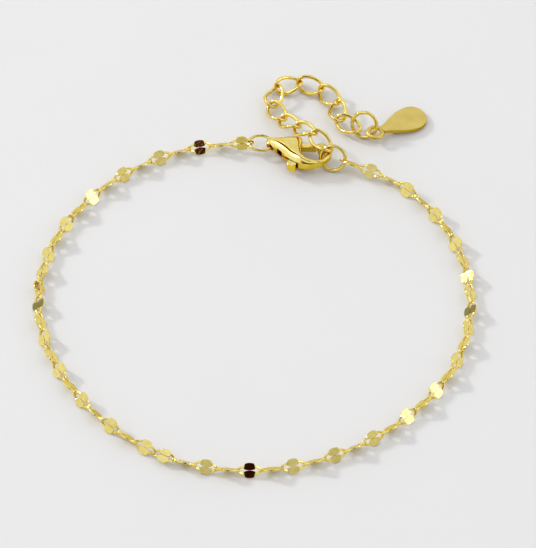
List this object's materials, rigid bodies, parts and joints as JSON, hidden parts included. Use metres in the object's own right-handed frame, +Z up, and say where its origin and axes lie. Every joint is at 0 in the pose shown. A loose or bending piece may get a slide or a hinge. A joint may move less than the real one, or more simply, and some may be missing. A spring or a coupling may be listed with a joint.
{
  "type": "chain bracelet with drop tag",
  "caption": "Fine chain bracelet of stamped mirror links, lying closed, with a lobster clasp, an open-link extender and a teardrop tag.",
  "frame": {"origin": "under the middle of the lying bracelet, on the table", "axes": "+Z up from the table, +Y from the wearer's side of the loop towards the clasp, +X to the right in the picture"},
  "size_m": [0.0532, 0.061, 0.0036],
  "materials": {
    "chain_gold": "mirror-bright yellow gold plate",
    "ring_gold": "polished yellow gold plate",
    "clasp_gold": "polished cast yellow gold plate",
    "tag_gold": "satin yellow gold plate"
  },
  "bodies": {
    "bracelet": {"main_chain": "chain_gold", "clasp_ring": "ring_gold", "clasp_body": "clasp_gold", "end_ring": "ring_gold", "extender_link_01": "ring_gold", "extender_link_02": "ring_gold", "extender_link_03": "ring_gold", "extender_link_04": "ring_gold", "extender_link_05": "ring_gold", "extender_link_06": "ring_gold", "extender_link_07": "ring_gold", "extender_link_08": "ring_gold", "extender_link_09": "ring_gold", "extender_link_10": "ring_gold", "tag_ring": "ring_gold", "drop_tag": "tag_gold"},
    "lever": {"clasp_lever": "clasp_gold"}
  },
  "joints": [
    {"name": "clasp_hinge", "type": "hinge", "parent": "bracelet", "child": "lever", "pos_m": [0.00442, 0.0188, 0.00123], "axis": [0.0445, -0.0153, -0.9989], "range_deg": [0, 25], "stiffness_Nm_per_rad": 0.001, "springref_deg": -11.46}
  ]
}
